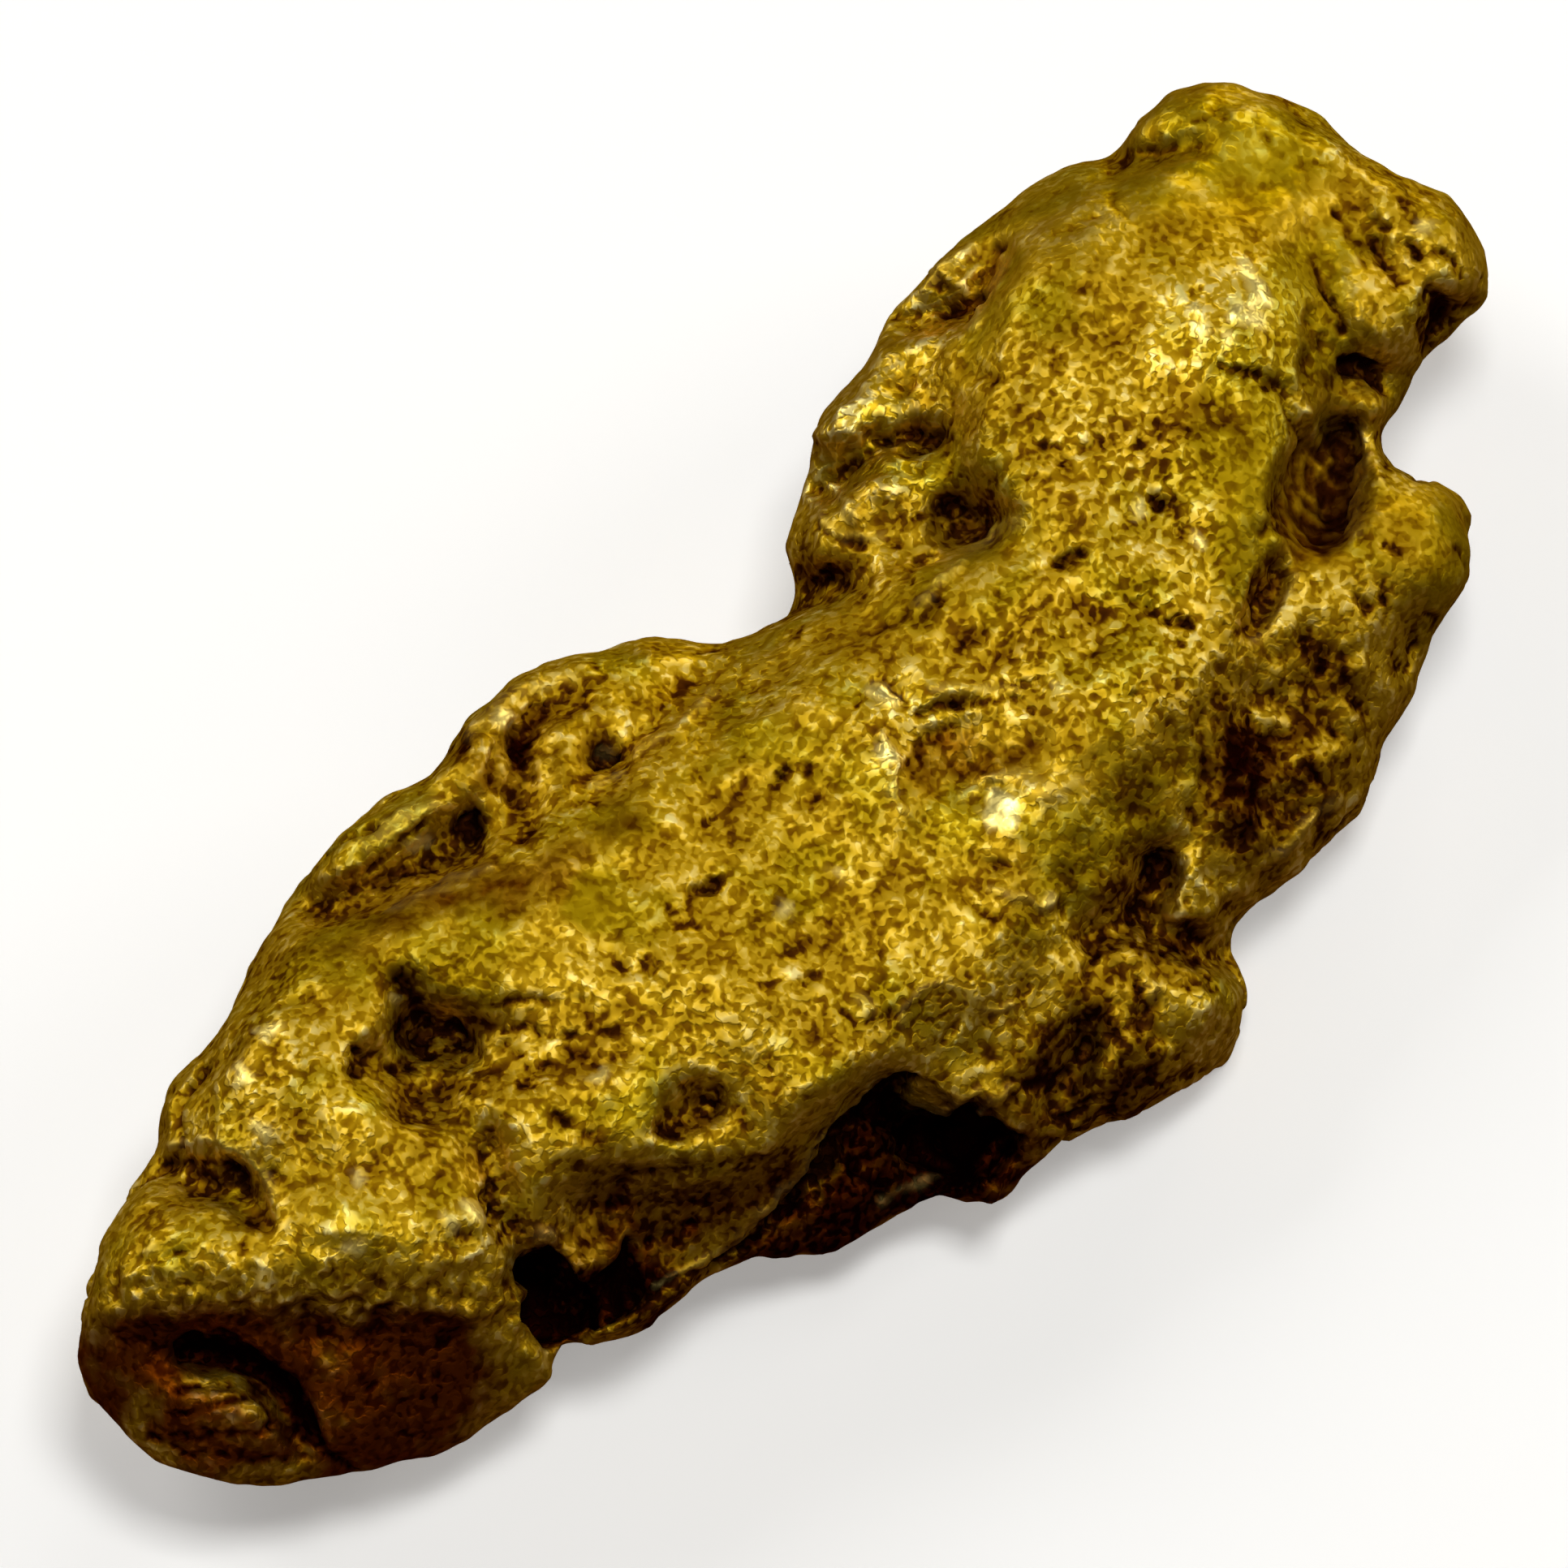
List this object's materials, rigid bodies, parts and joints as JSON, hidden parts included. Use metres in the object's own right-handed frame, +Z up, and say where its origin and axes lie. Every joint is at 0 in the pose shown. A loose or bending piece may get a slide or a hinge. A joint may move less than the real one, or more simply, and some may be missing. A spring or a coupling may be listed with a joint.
{
  "type": "gold nugget",
  "caption": "Long, lumpy natural gold nugget with a blunt end, a folded head, side lobes, pits, an undercut flank and worn patches underneath that it rests on.",
  "frame": {"origin": "centre of the nugget's bounding box, on the surface that it rests on", "axes": "+X along the nugget towards the folded head, +Y across it towards the side with the finger-like lobes, +Z up from the worn patches that it rests on"},
  "size_m": [0.019, 0.0078, 0.0036],
  "materials": {
    "native_gold": "water-worn native gold: fine hammered grain, satin on the high places, dark brown stain in the pits and folds"
  },
  "bodies": {
    "root": {"gold_nugget": "native_gold"}
  },
  "joints": []
}
